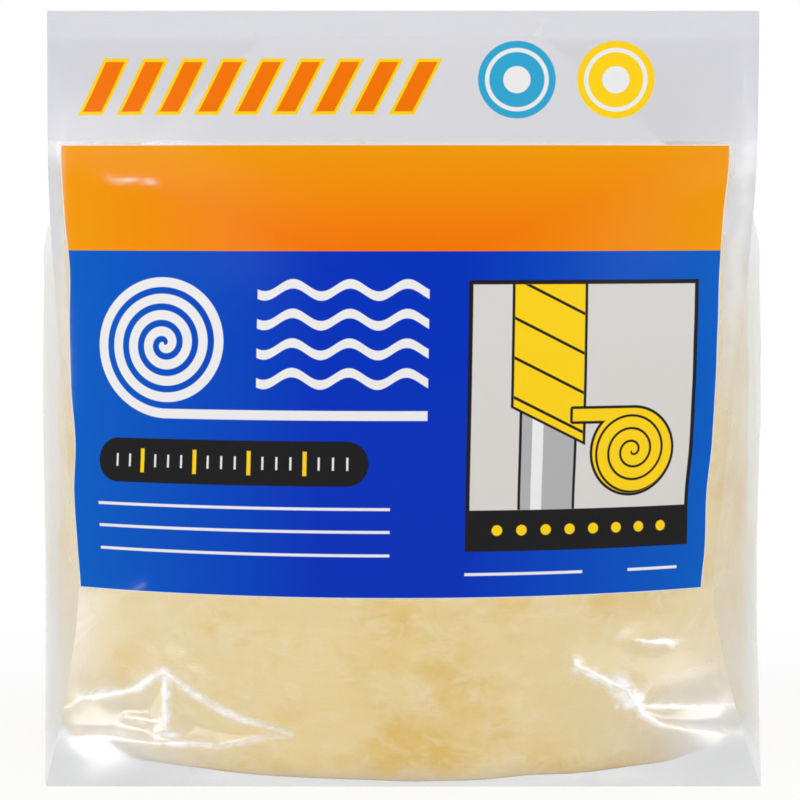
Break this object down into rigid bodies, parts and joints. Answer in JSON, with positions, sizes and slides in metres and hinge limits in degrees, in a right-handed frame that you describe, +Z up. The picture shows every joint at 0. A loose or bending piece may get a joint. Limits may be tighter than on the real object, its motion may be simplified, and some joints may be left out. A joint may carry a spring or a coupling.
{
  "type": "bagged insulation roll",
  "caption": "Roll of glass-wool pipe-wrap insulation standing on its edge in a clear film bag with creased panels, a squared foot and a flat sealed header.",
  "frame": {"origin": "on the floor under the roll's axis, in the middle of the bag's foot", "axes": "+Z up along the roll's axis, -Y out of the bag's front, +X to the right as the front is seen"},
  "size_m": [0.2148, 0.2148, 0.2174],
  "materials": {
    "glass_wool": "matt, fibrous and slightly mottled",
    "film": "clear glossy polyethylene film with a printed front"
  },
  "bodies": {
    "root": {"insulation_roll": "glass_wool", "bag": "film"}
  },
  "joints": []
}
